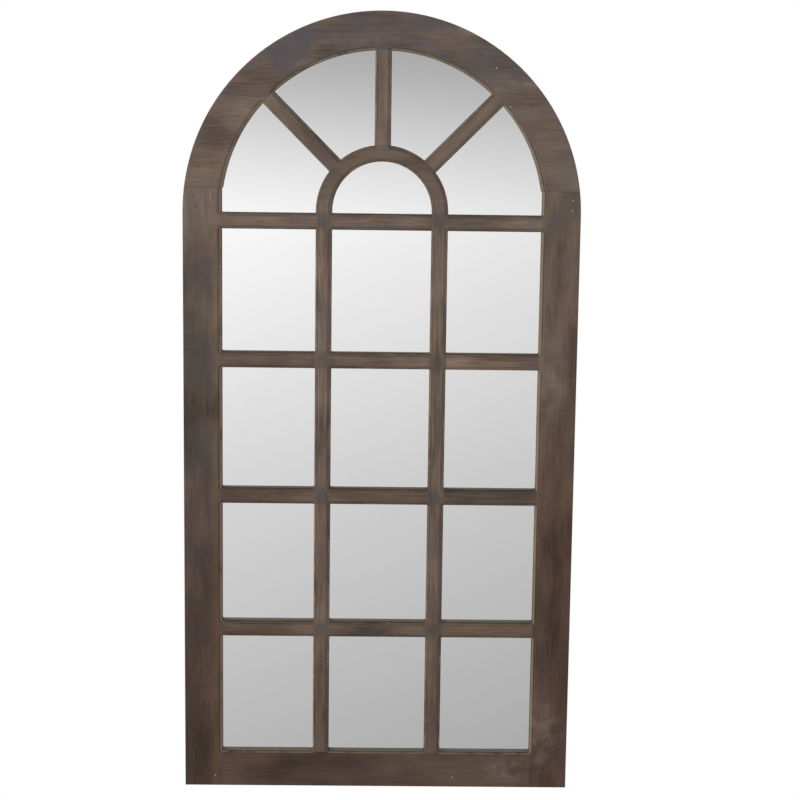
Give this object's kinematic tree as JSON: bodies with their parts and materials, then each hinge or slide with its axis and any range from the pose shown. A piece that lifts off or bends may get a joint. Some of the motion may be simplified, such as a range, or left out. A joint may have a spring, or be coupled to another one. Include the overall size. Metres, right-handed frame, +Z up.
{
  "type": "arched window mirror",
  "caption": "Arched wall mirror built as a wooden window sash with a fan head, moulded glazing bars in front of silvered glass, and hanging rings behind.",
  "frame": {"origin": "middle of the bottom edge, halfway between the face and the back of the wood", "axes": "+X to the viewer's right, +Y from the face towards the wall, +Z up towards the head"},
  "size_m": [0.61, 0.0253, 1.22],
  "materials": {
    "wood": "aged brown-grey stain with worn light rims",
    "wood_head": "greyer aged stain",
    "dowel_wood": "bare beech",
    "silvered_glass": "silvered float glass",
    "hardboard": "brown hardboard",
    "screw_steel": "zinc plated",
    "hanger_steel": "zinc plated sheet and wire",
    "rubber": "black rubber"
  },
  "bodies": {
    "mirror": {"arch": "wood_head", "stile_left": "wood", "stile_right": "wood", "bottom_rail": "wood", "transom": "wood", "cross_bar_upper": "wood", "cross_bar_middle": "wood", "cross_bar_lower": "wood", "upright_bar_left": "wood", "upright_bar_right": "wood", "hub_arch": "wood_head", "spoke_left": "wood_head", "spoke_centre": "wood_head", "spoke_right": "wood_head", "arch_dowels": "dowel_wood", "hub_dowels": "dowel_wood", "mirror_fan": "silvered_glass", "mirror_lower": "silvered_glass", "backing_board": "hardboard", "backing_screws": "screw_steel", "hanger_strap_left": "hanger_steel", "hanger_strap_right": "hanger_steel", "hanger_screws": "screw_steel", "wall_bumpers": "rubber"},
    "ring_left": {"hanger_ring_left": "hanger_steel"},
    "ring_right": {"hanger_ring_right": "hanger_steel"}
  },
  "joints": [
    {"name": "ring_left_swing", "type": "hinge", "parent": "mirror", "child": "ring_left", "pos_m": [-0.2855, 0.01256, 0.86], "axis": [1, 0, 0], "range_deg": [0, 176]},
    {"name": "ring_right_swing", "type": "hinge", "parent": "mirror", "child": "ring_right", "pos_m": [0.2855, 0.01256, 0.86], "axis": [1, 0, 0], "range_deg": [0, 176]}
  ]
}
